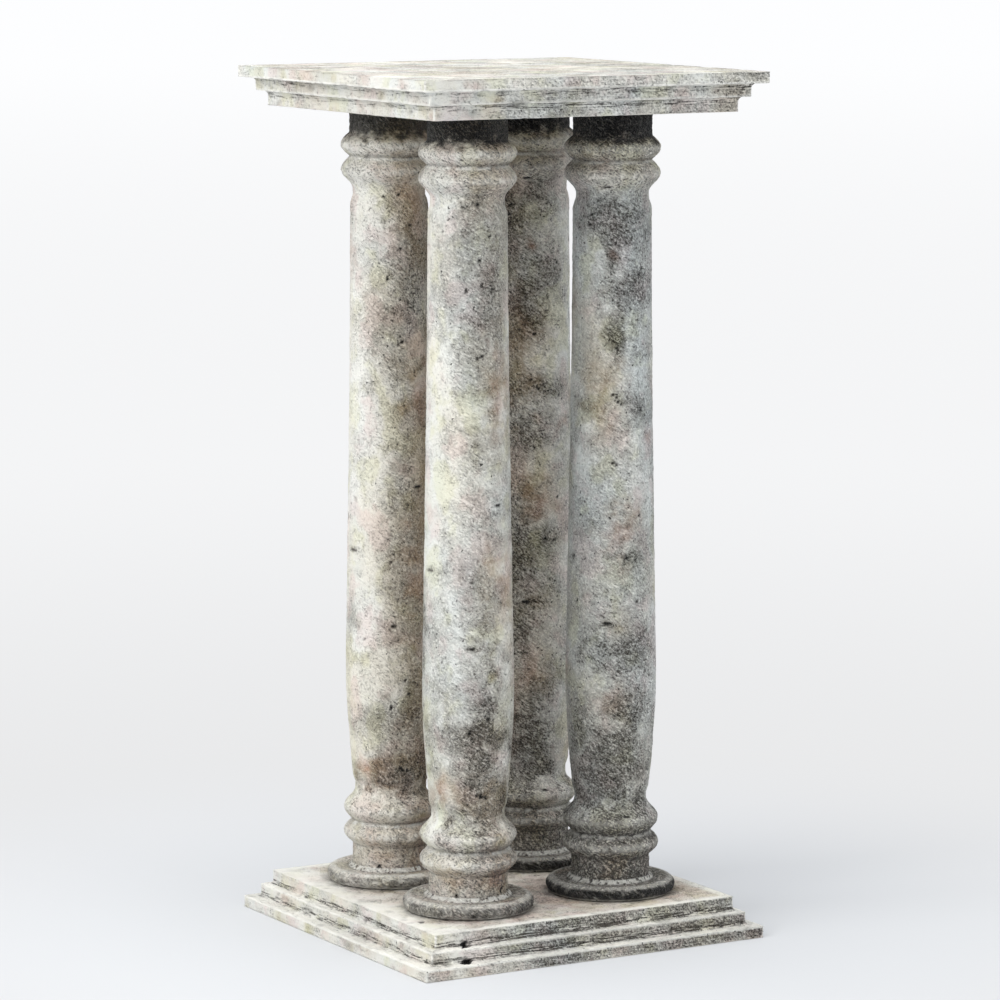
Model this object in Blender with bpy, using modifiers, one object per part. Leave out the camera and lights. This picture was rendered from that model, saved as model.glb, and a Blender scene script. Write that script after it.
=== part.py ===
"""Four-column stone pedestal: a square stepped plinth, four turned roman columns and a moulded top slab.

Metres, +Z up. The origin is the middle of the plinth's underside, and -Y is the front. The columns are
turned from one profile. The plinth has the same moulding as the slab, turned upside down.
"""

from math import cos, pi, radians, sin, sqrt

import bmesh
import bpy

# Overall sizes
HEIGHT = 0.8934
SLAB_WIDTH = 0.4000
PLINTH_WIDTH = 0.4000
SEAT_GAP = 0.0003

# Moulding of the slab, from its rim inwards; the plinth has the same one
RIM_HEIGHT = 0.01235
MIDDLE_HEIGHT = 0.01385
INNER_HEIGHT = 0.01520
RIM_STEP = 0.0134
MIDDLE_STEP = 0.0096
COVE_RADIUS = 0.0044
ARRIS_ROUND = 0.0012

# Grid of the columns, axis to axis
SPACING_X = 0.1702
SPACING_Y = 0.1642

# Foot disc, heights measured from its seat on the plinth
DISC_RADIUS = 0.0672
DISC_SEAT_INSET = 0.0047
DISC_CREST_INSET = 0.0085
DISC_WIDEST = 0.0071
DISC_HEIGHT = 0.0144
DISC_SINK = 0.0014
FILLET_STEP = 0.0050
FILLET_HEIGHT = 0.0042

# Drums at the two ends, between the plates and the mouldings
DRUM_RADIUS = 0.0405
FOOT_DRUM_HEIGHT = 0.0204
NECK_DRUM_HEIGHT = 0.0250

# Mouldings at both ends of the shaft, from the drum towards the shaft
RING_PROJECTION = 0.0093
RING_HEIGHT = 0.0247
TORUS_PROJECTION = 0.0091
TORUS_HEIGHT = 0.0138
OGEE_HEIGHT = 0.0197
WAIST_RADIUS = 0.0374
WAIST_HEIGHT = 0.0065
FLARE_HEIGHT = 0.0115

# Shaft, with its belly low down
SHAFT_END_RADIUS = 0.0403
BELLY_RADIUS = 0.0470
BELLY_RISE = 0.1188
TAPER_POWER = 1.45

# How finely the curves are cut
PLATE_SIDES = 4
TURN_STEPS = 22
COVE_CUTS = 3
ARRIS_CUTS = 2
DISC_CUTS = 3
RING_CUTS = 6
TORUS_CUTS = 3
OGEE_CUTS = 4
FLARE_CUTS = 2
BELLY_CUTS = 3
TAPER_CUTS = 4
ARRIS_ANGLE = radians(70)
MERGE = 0.00001

PLATE_HEIGHT = RIM_HEIGHT + MIDDLE_HEIGHT + INNER_HEIGHT
COLUMN_HEIGHT = HEIGHT - 2 * (PLATE_HEIGHT + SEAT_GAP)

SLAB_COLOUR = (0.56, 0.54, 0.48)
PLINTH_COLOUR = (0.50, 0.48, 0.43)
COLUMN_COLOURS = {
    "front_left": (0.50, 0.49, 0.45),
    "front_right": (0.36, 0.36, 0.35),
    "back_left": (0.47, 0.45, 0.39),
    "back_right": (0.35, 0.33, 0.31),
}


def fractions(cuts):
    """Returns the ends of equal cuts of a length of one, without its start."""
    return [(step + 1) / cuts for step in range(cuts)]


def stone(name, colour):
    """Makes the matt stone material of one piece."""
    material = bpy.data.materials.new(name)
    material.use_nodes = True
    shader = material.node_tree.nodes["Principled BSDF"]
    shader.inputs["Base Color"].default_value = (*colour, 1.0)
    shader.inputs["Roughness"].default_value = 0.9
    shader.inputs["Metallic"].default_value = 0.0
    return material


def turned(name, profile, steps, material, collection):
    """Turns a profile of (radius, height) points, listed from the bottom up, into a closed solid."""
    mesh = bpy.data.meshes.new(name)
    shape = bmesh.new()
    points = [shape.verts.new((radius, 0.0, height)) for radius, height in reversed(profile)]
    for upper, lower in zip(points, points[1:]):
        shape.edges.new((upper, lower))
    shape.to_mesh(mesh)
    shape.free()
    mesh.materials.append(material)
    piece = bpy.data.objects.new(name, mesh)
    collection.objects.link(piece)
    screw = piece.modifiers.new("Turn", "SCREW")
    screw.axis = "Z"
    screw.steps = steps
    screw.render_steps = steps
    screw.use_merge_vertices = True
    screw.merge_threshold = MERGE
    screw.use_smooth_shade = steps > PLATE_SIDES
    return piece


def plate_profile(width):
    """Profile of the plinth from its underside up: three fasciae with a cove under the upper two."""
    half = width / 2
    profile = [(0.0, 0.0), (half, 0.0), (half, RIM_HEIGHT)]
    height = RIM_HEIGHT
    for step, rise in ((RIM_STEP, MIDDLE_HEIGHT), (MIDDLE_STEP, INNER_HEIGHT)):
        half -= step
        profile.append((half + COVE_RADIUS, height))
        for part in fractions(COVE_CUTS):
            angle = part * pi / 2
            profile.append((half + COVE_RADIUS * (1 - sin(angle)), height + COVE_RADIUS * (1 - cos(angle))))
        height += rise
        profile.append((half, height))
    profile.append((0.0, height))
    return profile


def plate(name, width, colour, collection):
    """A square moulded plate with its underside at the origin, turned in four steps."""
    corner = sqrt(2)
    profile = [(radius * corner, height) for radius, height in plate_profile(width)]
    piece = turned(name, profile, PLATE_SIDES, stone(name, colour), collection)
    piece.rotation_euler.z = pi / 4
    arris = piece.modifiers.new("Arrises", "BEVEL")
    arris.limit_method = "ANGLE"
    arris.angle_limit = ARRIS_ANGLE
    arris.width = ARRIS_ROUND
    arris.segments = ARRIS_CUTS
    return piece


def disc_profile():
    """Foot disc from its seat up: a rounded edge, a sunk top and the flared fillet under the drum."""
    profile = [(0.0, 0.0), (DISC_RADIUS - DISC_SEAT_INSET, 0.0)]
    for part in fractions(DISC_CUTS - 1):
        angle = part * pi / 2
        inset = DISC_SEAT_INSET * (1 - sin(angle))
        profile.append((DISC_RADIUS - inset, DISC_WIDEST * (1 - cos(angle))))
    for part in fractions(DISC_CUTS):
        angle = part * pi / 2
        inset = DISC_CREST_INSET * (1 - cos(angle))
        profile.append((DISC_RADIUS - inset, DISC_WIDEST + (DISC_HEIGHT - DISC_WIDEST) * sin(angle)))
    profile.append((DRUM_RADIUS + FILLET_STEP, DISC_HEIGHT - DISC_SINK))
    profile.append((DRUM_RADIUS, DISC_HEIGHT + FILLET_HEIGHT))
    return profile


def end_mouldings():
    """Mouldings of one end, as (radius, distance) from the drum's end towards the shaft."""
    profile = [(DRUM_RADIUS, 0.0)]
    for part in fractions(RING_CUTS):
        bulge = RING_PROJECTION * sin(part * pi)
        profile.append((DRUM_RADIUS + bulge, RING_HEIGHT * part))
    start = RING_HEIGHT
    for part in fractions(TORUS_CUTS):
        bulge = TORUS_PROJECTION * sin(part * pi / 2)
        profile.append((DRUM_RADIUS + bulge, start + TORUS_HEIGHT * part))
    start += TORUS_HEIGHT
    for part in fractions(OGEE_CUTS):
        fall = (DRUM_RADIUS + TORUS_PROJECTION - WAIST_RADIUS) * (1 + cos(part * pi)) / 2
        profile.append((WAIST_RADIUS + fall, start + OGEE_HEIGHT * part))
    start += OGEE_HEIGHT + WAIST_HEIGHT
    profile.append((WAIST_RADIUS, start))
    for part in fractions(FLARE_CUTS):
        angle = part * pi / 2
        spread = (SHAFT_END_RADIUS - WAIST_RADIUS) * sin(angle)
        profile.append((WAIST_RADIUS + spread, start + FLARE_HEIGHT * part))
    return profile


def shaft_profile(bottom, top):
    """Shaft between two heights: it swells to the belly like a quarter wave, then tapers to its upper end."""
    swell = BELLY_RADIUS - SHAFT_END_RADIUS
    taper = top - bottom - BELLY_RISE
    profile = []
    for part in fractions(BELLY_CUTS):
        profile.append((SHAFT_END_RADIUS + swell * sin(part * pi / 2), bottom + BELLY_RISE * part))
    for part in fractions(TAPER_CUTS)[:-1]:
        radius = SHAFT_END_RADIUS + swell * (1 - part) ** TAPER_POWER
        profile.append((radius, bottom + BELLY_RISE + taper * part))
    return profile


def column_profile():
    """Whole profile of a column from its seat on the plinth to its seat under the slab."""
    foot_start = DISC_HEIGHT + FILLET_HEIGHT + FOOT_DRUM_HEIGHT
    cap_start = COLUMN_HEIGHT - NECK_DRUM_HEIGHT
    foot = [(radius, foot_start + distance) for radius, distance in end_mouldings()]
    cap = [(radius, cap_start - distance) for radius, distance in reversed(end_mouldings())]
    shaft = shaft_profile(foot[-1][1], cap[0][1])
    return disc_profile() + foot + shaft + cap + [(DRUM_RADIUS, COLUMN_HEIGHT), (0.0, COLUMN_HEIGHT)]


def column(name, x, y, colour, collection):
    """One turned column, standing on the plinth at x, y."""
    piece = turned(name, column_profile(), TURN_STEPS, stone(name, colour), collection)
    piece.location = (x, y, PLATE_HEIGHT + SEAT_GAP)
    return piece


def build():
    """Builds the pedestal in a collection of its own."""
    for old in list(bpy.data.objects):
        bpy.data.objects.remove(old, do_unlink=True)
    parts = bpy.data.collections.new("four_column_pedestal")
    bpy.context.scene.collection.children.link(parts)

    plate("base_plinth", PLINTH_WIDTH, PLINTH_COLOUR, parts)
    slab = plate("top_slab", SLAB_WIDTH, SLAB_COLOUR, parts)
    slab.rotation_euler.x = pi
    slab.location.z = HEIGHT

    for depth, y in (("front", -SPACING_Y / 2), ("back", SPACING_Y / 2)):
        for side, x in (("left", -SPACING_X / 2), ("right", SPACING_X / 2)):
            place = f"{depth}_{side}"
            column(f"column_{place}", x, y, COLUMN_COLOURS[place], parts)


build()
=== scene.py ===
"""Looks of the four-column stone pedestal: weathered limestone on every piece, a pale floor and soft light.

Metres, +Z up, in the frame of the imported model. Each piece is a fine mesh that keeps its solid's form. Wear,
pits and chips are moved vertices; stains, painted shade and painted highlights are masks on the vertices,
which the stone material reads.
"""

from itertools import product
from math import cos, pi, radians, sin
from types import SimpleNamespace

import bpy
import numpy as np
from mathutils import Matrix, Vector


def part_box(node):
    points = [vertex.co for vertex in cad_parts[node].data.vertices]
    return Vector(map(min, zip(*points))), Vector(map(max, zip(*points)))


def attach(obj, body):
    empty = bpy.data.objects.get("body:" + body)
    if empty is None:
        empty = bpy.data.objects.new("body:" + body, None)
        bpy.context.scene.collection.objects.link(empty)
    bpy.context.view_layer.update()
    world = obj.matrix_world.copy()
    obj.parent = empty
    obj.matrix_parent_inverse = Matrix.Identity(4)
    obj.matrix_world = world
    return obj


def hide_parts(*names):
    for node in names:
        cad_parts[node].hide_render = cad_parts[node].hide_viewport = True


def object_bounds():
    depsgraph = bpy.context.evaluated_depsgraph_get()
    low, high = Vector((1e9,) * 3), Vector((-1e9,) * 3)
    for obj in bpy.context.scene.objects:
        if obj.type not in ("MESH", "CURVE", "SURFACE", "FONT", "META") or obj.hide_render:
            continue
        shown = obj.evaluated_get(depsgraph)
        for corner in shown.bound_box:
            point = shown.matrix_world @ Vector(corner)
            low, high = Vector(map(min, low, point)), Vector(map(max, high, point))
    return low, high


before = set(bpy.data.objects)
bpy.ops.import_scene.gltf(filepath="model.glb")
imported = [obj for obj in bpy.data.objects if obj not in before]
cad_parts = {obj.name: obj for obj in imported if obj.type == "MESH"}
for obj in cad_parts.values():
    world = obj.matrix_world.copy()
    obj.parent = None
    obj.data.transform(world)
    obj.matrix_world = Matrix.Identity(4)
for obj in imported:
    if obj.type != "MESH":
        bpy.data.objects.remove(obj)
cad_box = [list(corner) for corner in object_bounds()]

# Camera, at the photo's angle
VIEW_AZIMUTH = radians(-30.05)
VIEW_ELEVATION = radians(7.83)
VIEW_DISTANCE = 4.826
LENS = 167.44
SENSOR_WIDTH = 36.0

# Moulding of the slab and the plinth, from the rim inwards
RIM_HEIGHT = 0.01235
MIDDLE_HEIGHT = 0.01385
INNER_HEIGHT = 0.01520
RIM_STEP = 0.0134
MIDDLE_STEP = 0.0096
COVE_RADIUS = 0.0044
CORNER_ROUND = 0.0016
PLATE_HEIGHT = RIM_HEIGHT + MIDDLE_HEIGHT + INNER_HEIGHT

# Foot disc and the drums of a column
DISC_RADIUS = 0.0672
DISC_SEAT_INSET = 0.0047
DISC_CREST_INSET = 0.0085
DISC_WIDEST = 0.0071
DISC_HEIGHT = 0.0144
DISC_SINK = 0.0014
FILLET_STEP = 0.0050
FILLET_HEIGHT = 0.0042
DRUM_RADIUS = 0.0405
FOOT_DRUM_HEIGHT = 0.0204
NECK_DRUM_HEIGHT = 0.0250

# Mouldings at both ends of the shaft, and the shaft
RING_PROJECTION = 0.0093
RING_HEIGHT = 0.0247
TORUS_PROJECTION = 0.0091
TORUS_HEIGHT = 0.0138
OGEE_HEIGHT = 0.0197
WAIST_RADIUS = 0.0374
WAIST_HEIGHT = 0.0065
FLARE_HEIGHT = 0.0115
SHAFT_END_RADIUS = 0.0403
BELLY_RADIUS = 0.0470
BELLY_RISE = 0.1188
TAPER_POWER = 1.45

# Fineness of the meshes
COLUMN_SIDES = 200
SHAFT_STEP = 0.0024
MOULDING_STEP = 0.00135
PLATE_SIDE_CUTS = 150
PLATE_CORNER_CUTS = 4
PLATE_STEP = 0.0013
PLATE_FACE_STEP = 0.0050
HIDDEN_FACE_STEP = 0.0400
PROFILE_STEP = 0.0002
ARRIS_BLUR = 0.0005
EDGE_BLUR = 0.0015
BROAD_BLUR = 0.0022
ARC_CUTS = 24

# The side of a column that faces the photo's camera, as an angle about +Z
FACING = radians(-120)

# Stretches of a column where its looks change, in metres: the foot's measured from the ground, the cap's and
# the neck's down from the slab, the upper soot and painted shade's from the crest of the upper ring, the
# others from the seat. The neck is painted black with soot and painted shade under the slab, and the
# undercut is the band under a foot disc's crest where shade is painted. The drifts are how far the edges of
# the zones wander.
SHAFT_RANGE = (0.12, 0.70)
FOOT_ZONE = (0.095, 0.150)
CAP_ZONE = (0.055, 0.095)
NECK_ZONE = (0.022, 0.033)
UPPER_SOOT_AND_SHADE_ZONE = (-0.001, 0.010)
DISC_ZONE = (0.017, 0.020)
LIP_ZONE = (0.0012, 0.0026)
UNDERCUT_ZONE = (0.0100, 0.0128)
ZONE_DRIFT = 0.012
NECK_DRIFT = 0.007

# Painted highlights below the grooves at the rings, and painted shadows above them: place from the groove and
# width
GROOVE_HIGHLIGHT = (-0.0014, 0.0016)
BEAD_SHADOW = (0.0021, 0.0015)

# The painted highlight along the crest of a foot disc: its distance from the rim, where it fades out on both
# sides and its top
CREST_INSET = 0.006
CREST_ZONE = (0.001, 0.0045)
CREST_TOP = 0.016

# Relief of the columns: how far apart the marks lie and how deep they go. The crust adds to the grain's depth
# at the foot and the cap, and the ends of a column keep their size.
SMALL_PIT_SIZE = 0.0075
SMALL_PIT_DEPTH = 0.0011
LARGE_PIT_SIZE = 0.021
LARGE_PIT_DEPTH = 0.0017
GRAIN_SIZE = 0.0060
GRAIN_DEPTH = 0.00036
CRUST_DEPTH = 0.00028
SWELLING_SIZE = 0.030
SWELLING_DEPTH = 0.00040
CHIP_SIZE = 0.011
CHIP_DEPTH = 0.0009
END_KEPT = 0.003

# Relief of the slab and the plinth
PLATE_SMALL_PIT_SIZE = 0.0080
PLATE_SMALL_PIT_DEPTH = 0.0006
PLATE_LARGE_PIT_SIZE = 0.024
PLATE_LARGE_PIT_DEPTH = 0.0010
PLATE_GRAIN_SIZE = 0.007
PLATE_GRAIN_DEPTH = 0.00016
PLATE_SWELLING_SIZE = 0.040
PLATE_SWELLING_DEPTH = 0.00012
PLATE_CHIP_SIZE = 0.012
PLATE_CHIP_DEPTH = 0.0012
NIBBLE_SIZE = 0.0035
NIBBLE_DEPTH = 0.0004

# Where the looks of the slab and the plinth change: two places along X, then distances in from the edge of
# the plinth's top, down from that top, up from a step and out from a foot disc
FRONT_DIRT = (-0.15, -0.02)
TOP_DIRT = (-0.165, -0.115)
BORDER_ZONE = (0.004, 0.014)
TREAD_ZONE = (0.002, 0.004)
COVE_ZONE = (0.0048, 0.0068)
FOOT_GRIME_AND_SHADE = (-0.001, 0.008)
FOOT_SHADE = (0.004, 0.034)


def unit(values):
    """Keeps values from 0 to 1."""
    return np.clip(values, 0, 1)


def ease(values, low, high):
    """Rises smoothly from 0 at low to 1 at high."""
    share = unit((values - low) / (high - low))
    return share * share * (3 - 2 * share)


def fade(values, full, gone):
    """Falls smoothly from 1 at full to 0 at gone, which lies above it."""
    return ease(-values, -gone, -full)


def scrambled(cells, seed):
    """Turns whole-number cells into repeatable numbers from 0 to 1."""
    mixed = np.full(cells.shape[:-1], (seed * 2654435761) % 2**32, dtype=np.uint32)
    for axis, prime in enumerate((2376512323, 3625334849, 3407524639)):
        mixed ^= cells[..., axis].astype(np.int64).astype(np.uint32) * np.uint32(prime)
        mixed ^= mixed >> np.uint32(15)
        mixed *= np.uint32(739982445)
        mixed ^= mixed >> np.uint32(12)
    return mixed / 2.0**32


def noise(points, size, seed, octaves=1):
    """Gradient noise of about -1 to 1, with features of the given size and finer octaves on top."""
    total = 0.0
    for octave in range(octaves):
        scaled = points * (2**octave / size)
        base = np.floor(scaled)
        inside = scaled - base
        fade = inside**3 * (inside * (inside * 6 - 15) + 10)
        layer = 0.0
        for corner in product((0, 1), repeat=3):
            corner = np.array(corner)
            cell = base + corner
            reach = inside - corner
            slope = 0.0
            for axis in range(3):
                key = seed * 31 + octave * 7 + axis * 3 + 1
                slope = slope + (scrambled(cell, key) * 2 - 1) * reach[..., axis]
            weight = np.prod(np.where(corner, fade, 1 - fade), axis=-1)
            layer = layer + weight * slope
        total = total + layer * 1.5 / 2**octave
    return total


def pits(points, size, share, seed):
    """Scattered round dents: 1 at the middle of a dent and 0 outside. Share is how many cells have one."""
    scaled = points / size
    base = np.floor(scaled - 0.5)
    deepest = np.zeros(points.shape[:-1])
    for corner in product((0, 1), repeat=3):
        cell = base + np.array(corner)
        centre = cell + 0.5
        for axis in range(3):
            centre[..., axis] += (scrambled(cell, seed * 17 + axis) - 0.5) * 0.5
        radius = 0.22 + 0.5 * scrambled(cell, seed * 17 + 5) ** 2
        near = 1 - ((scaled - centre) ** 2).sum(-1) / radius**2
        there = scrambled(cell, seed * 17 + 9) < share
        deepest = np.maximum(deepest, np.where(there, unit(near) * radius * 1.4, 0))
    return deepest


def fractions(cuts):
    """Returns the ends of equal cuts of a length of one, without its start."""
    return [(step + 1) / cuts for step in range(cuts)]


def end_mouldings():
    """Mouldings of one end of a column, as (radius, distance) from the drum's end towards the shaft."""
    profile = [(DRUM_RADIUS, 0.0)]
    for part in fractions(ARC_CUTS * 2):
        profile.append((DRUM_RADIUS + RING_PROJECTION * sin(part * pi), RING_HEIGHT * part))
    start = RING_HEIGHT
    for part in fractions(ARC_CUTS):
        profile.append((DRUM_RADIUS + TORUS_PROJECTION * sin(part * pi / 2), start + TORUS_HEIGHT * part))
    start += TORUS_HEIGHT
    for part in fractions(ARC_CUTS):
        fall = (DRUM_RADIUS + TORUS_PROJECTION - WAIST_RADIUS) * (1 + cos(part * pi)) / 2
        profile.append((WAIST_RADIUS + fall, start + OGEE_HEIGHT * part))
    start += OGEE_HEIGHT + WAIST_HEIGHT
    profile.append((WAIST_RADIUS, start))
    for part in fractions(ARC_CUTS):
        spread = (SHAFT_END_RADIUS - WAIST_RADIUS) * sin(part * pi / 2)
        profile.append((WAIST_RADIUS + spread, start + FLARE_HEIGHT * part))
    return profile


def disc_profile():
    """Foot disc from its seat up, with the flared fillet under the drum."""
    profile = [(DISC_RADIUS - DISC_SEAT_INSET, 0.0)]
    for part in fractions(ARC_CUTS):
        angle = part * pi / 2
        profile.append((DISC_RADIUS - DISC_SEAT_INSET * (1 - sin(angle)), DISC_WIDEST * (1 - cos(angle))))
    for part in fractions(ARC_CUTS):
        angle = part * pi / 2
        rise = (DISC_HEIGHT - DISC_WIDEST) * sin(angle)
        profile.append((DISC_RADIUS - DISC_CREST_INSET * (1 - cos(angle)), DISC_WIDEST + rise))
    profile.append((DRUM_RADIUS + FILLET_STEP, DISC_HEIGHT - DISC_SINK))
    profile.append((DRUM_RADIUS, DISC_HEIGHT + FILLET_HEIGHT))
    return profile


def column_profile(height):
    """Whole side of a column of the given height, as (radius, height) from its seat up."""
    foot_start = DISC_HEIGHT + FILLET_HEIGHT + FOOT_DRUM_HEIGHT
    cap_start = height - NECK_DRUM_HEIGHT
    foot = [(radius, foot_start + distance) for radius, distance in end_mouldings()]
    cap = [(radius, cap_start - distance) for radius, distance in reversed(end_mouldings())]
    swell = BELLY_RADIUS - SHAFT_END_RADIUS
    bottom = foot[-1][1]
    taper = cap[0][1] - bottom - BELLY_RISE
    shaft = []
    for part in fractions(ARC_CUTS):
        shaft.append((SHAFT_END_RADIUS + swell * sin(part * pi / 2), bottom + BELLY_RISE * part))
    for part in fractions(ARC_CUTS)[:-1]:
        radius = SHAFT_END_RADIUS + swell * (1 - part) ** TAPER_POWER
        shaft.append((radius, bottom + BELLY_RISE + taper * part))
    return np.array(disc_profile() + foot + shaft + cap + [(DRUM_RADIUS, height)])


def plate_profile(half):
    """Side of the plinth from its underside to the edge of its top, as (half width, height)."""
    profile = [(half, 0.0), (half, RIM_HEIGHT)]
    height = RIM_HEIGHT
    for step, rise in ((RIM_STEP, MIDDLE_HEIGHT), (MIDDLE_STEP, INNER_HEIGHT)):
        half -= step
        profile.append((half + COVE_RADIUS, height))
        for part in fractions(ARC_CUTS):
            angle = part * pi / 2
            profile.append((half + COVE_RADIUS * (1 - sin(angle)), height + COVE_RADIUS * (1 - cos(angle))))
        height += rise
        profile.append((half, height))
    return np.array(profile)


def blurred(values, blur):
    """Smooths values that lie PROFILE_STEP apart, and keeps the two ends where they are."""
    reach = int(3 * blur / PROFILE_STEP) + 1
    weights = np.exp(-0.5 * (np.arange(-reach, reach + 1) * PROFILE_STEP / blur) ** 2)
    padded = np.concatenate(
        (2 * values[0] - values[reach:0:-1], values, 2 * values[-1] - values[-2 : -reach - 2 : -1])
    )
    return np.convolve(padded, weights / weights.sum(), mode="valid")


def bend(across, up):
    """How sharply a profile bends, per metre: above 0 where it stands out and below 0 in a hollow."""
    heading = np.unwrap(np.arctan2(np.gradient(up), np.gradient(across)))
    return np.gradient(heading) / PROFILE_STEP


def worn_profile(profile, step_at):
    """Rounds a profile's corners as weather does and cuts it into steps.

    step_at gives the step at each height. Returns the points with how much each is an arris, a hollow and a
    broad swell, all from 0 to 1.
    """
    lengths = np.concatenate(([0], np.cumsum(np.hypot(*np.diff(profile, axis=0).T))))
    even = np.arange(0, lengths[-1], PROFILE_STEP)
    across = np.interp(even, lengths, profile[:, 0])
    up = np.interp(even, lengths, profile[:, 1])
    sharp = bend(blurred(across, EDGE_BLUR), blurred(up, EDGE_BLUR))
    broad = bend(blurred(across, BROAD_BLUR), blurred(up, BROAD_BLUR))
    across = blurred(across, ARRIS_BLUR)
    up = blurred(up, ARRIS_BLUR)
    crowding = np.concatenate(([0], np.cumsum(PROFILE_STEP / step_at(up))[:-1]))
    count = int(crowding[-1]) + 1
    order = np.arange(len(even))
    places = np.interp(np.linspace(0, crowding[-1], count), crowding, order)
    lines = (across, up, ease(sharp, 50, 190), ease(-sharp, 80, 260), ease(broad, 30, 120))
    across, up, *masks = (np.interp(places, order, line) for line in lines)
    return np.stack((across, up), axis=-1), masks


def surface_normals(rings):
    """Normals of a grid of rings that run round the piece and climb from its underside."""
    along = np.gradient(rings, axis=0)
    around = (np.roll(rings, -1, axis=1) - np.roll(rings, 1, axis=1)) / 2
    normals = np.cross(around, along)
    return normals / np.maximum(np.linalg.norm(normals, axis=-1, keepdims=True), 1e-12)


def ring_mesh(name, rings, masks):
    """Makes a closed mesh from rings, with a point in the middle of each end, and stores the masks on it."""
    count, sides = rings.shape[:2]
    middles = [rings[0].mean(axis=0), rings[-1].mean(axis=0)]
    points = np.concatenate((rings.reshape(-1, 3), middles))
    ring, side = np.meshgrid(np.arange(count - 1), np.arange(sides), indexing="ij")
    here = ring * sides + side
    beside = ring * sides + (side + 1) % sides
    quads = np.stack((here, beside, beside + sides, here + sides), axis=-1).reshape(-1, 4)
    faces = quads.tolist()
    last = (count - 1) * sides
    for side in range(sides):
        following = (side + 1) % sides
        faces.append((following, side, count * sides))
        faces.append((last + side, last + following, count * sides + 1))
    mesh = bpy.data.meshes.new(name)
    mesh.from_pydata(points.tolist(), [], faces)
    for mask, values in masks.items():
        ends = (values[0].mean(), values[-1].mean())
        attribute = mesh.attributes.new(mask, "FLOAT", "POINT")
        attribute.data.foreach_set("value", np.concatenate((values.ravel(), ends)).astype(np.float32))
    mesh.shade_smooth()
    piece = bpy.data.objects.new(name, mesh)
    bpy.context.scene.collection.objects.link(piece)
    return piece


# Stains of the columns: turn from the facing side in degrees, height in mm, half width in degrees, half
# height in mm and strength. Sooty patches, then brown ones, red-brown ones and mossy ones. The broad
# sooty patches on the side away from the light, and the heavier soot of the shaded columns, are partly
# painted shade.
LIT_STAINS = {
    "soot": [
        (12, 762, 22, 14, 0.5), (28, 700, 30, 46, 0.55), (30, 655, 26, 22, 0.4), (50, 640, 30, 110, 0.35),
        (38, 520, 22, 26, 0.4), (30, 440, 30, 32, 0.5), (8, 388, 22, 18, 0.45), (-58, 394, 14, 3, 0.6),
        (6, 316, 14, 5, 0.6), (4, 234, 30, 18, 0.55), (30, 244, 18, 22, 0.65), (-20, 226, 40, 16, 0.35),
        (0, 205, 70, 24, 0.35), (24, 164, 36, 14, 0.5), (60, 160, 24, 30, 0.5), (60, 470, 26, 60, 0.3),
    ],
    "umber": [
        (45, 590, 26, 40, 0.7), (55, 380, 30, 50, 0.6), (20, 160, 50, 18, 0.8), (-38, 166, 24, 16, 0.6),
        (52, 80, 22, 20, 0.9), (-30, 78, 26, 16, 0.7), (20, 790, 40, 20, 0.5), (30, 832, 40, 12, 0.8),
    ],
    "rust": [
        (50, 545, 18, 30, 0.35), (40, 390, 20, 26, 0.25), (-42, 168, 10, 10, 0.7), (50, 78, 15, 24, 1.0),
    ],
    "moss": [
        (31, 290, 7, 8, 0.8), (42, 116, 9, 7, 0.9), (60, 256, 20, 20, 0.3), (-70, 200, 20, 120, 0.3),
    ],
}
SHADED_STAINS = {
    "soot": [
        (0, 760, 60, 26, 0.7), (-40, 735, 30, 16, 0.6), (32, 676, 26, 26, 0.8), (5, 622, 12, 22, 0.8),
        (-14, 640, 14, 20, 0.5), (14, 560, 16, 10, 0.7), (44, 550, 20, 16, 0.7), (-44, 548, 16, 16, 0.6),
        (12, 500, 16, 12, 0.6), (-40, 440, 18, 18, 0.5), (28, 396, 18, 12, 0.8), (-64, 395, 10, 4, 0.8),
        (10, 345, 50, 30, 0.45), (0, 328, 12, 4, 0.8), (5, 190, 24, 40, 0.8), (-52, 225, 20, 26, 0.7),
        (20, 236, 24, 22, 0.6), (0, 160, 80, 24, 0.5), (0, 92, 120, 12, 0.6), (0, 70, 90, 14, 0.8),
        (0, 50, 120, 10, 0.6),
    ],
    "umber": [
        (-12, 560, 20, 36, 0.7), (2, 706, 8, 6, 0.2), (-20, 620, 30, 60, 0.4), (10, 432, 30, 26, 0.6),
        (14, 248, 26, 20, 0.35), (0, 74, 22, 12, 0.8), (-40, 548, 16, 14, 0.6), (0, 800, 90, 22, 0.5),
        (4, 330, 20, 14, 0.5),
    ],
    "rust": [(2, 706, 8, 6, 0.9), (12, 430, 26, 18, 0.35), (8, 248, 16, 14, 0.3), (62, 520, 12, 8, 0.6)],
    "moss": [(4, 624, 8, 10, 0.5), (4, 116, 20, 7, 0.6), (0, 815, 70, 10, 0.5), (10, 380, 30, 20, 0.4)],
}

# Where one column alone is dirtier than the rest of its kind, or cleaner with a strength below 0
FRONT_LEFT_SPOTS = [
    (-36, 680, 24, 48, 0.32), (5, 628, 20, 62, 0.34), (32, 540, 14, 18, -0.30), (-35, 410, 26, 44, 0.18),
    (28, 312, 28, 58, 0.48), (-20, 205, 62, 44, 0.42), (30, 200, 34, 36, 0.28), (5, 140, 60, 15, 0.45),
    (-35, 101, 34, 18, -0.30), (-38, 822, 30, 14, -0.60), (-10, 272, 50, 16, 0.20), (30, 828, 40, 8, 0.40),
    (-16, 220, 30, 24, -0.36), (32, 664, 16, 14, -0.32), (5, 575, 14, 24, 0.25), (34, 512, 16, 24, -0.20),
    (34, 418, 18, 24, -0.20), (-30, 145, 28, 14, 0.28), (54, 128, 16, 14, -0.32), (15, 106, 24, 8, 0.25),
    (-30, 88, 36, 9, -0.25), (58, 440, 16, 150, -0.16),
]
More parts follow.
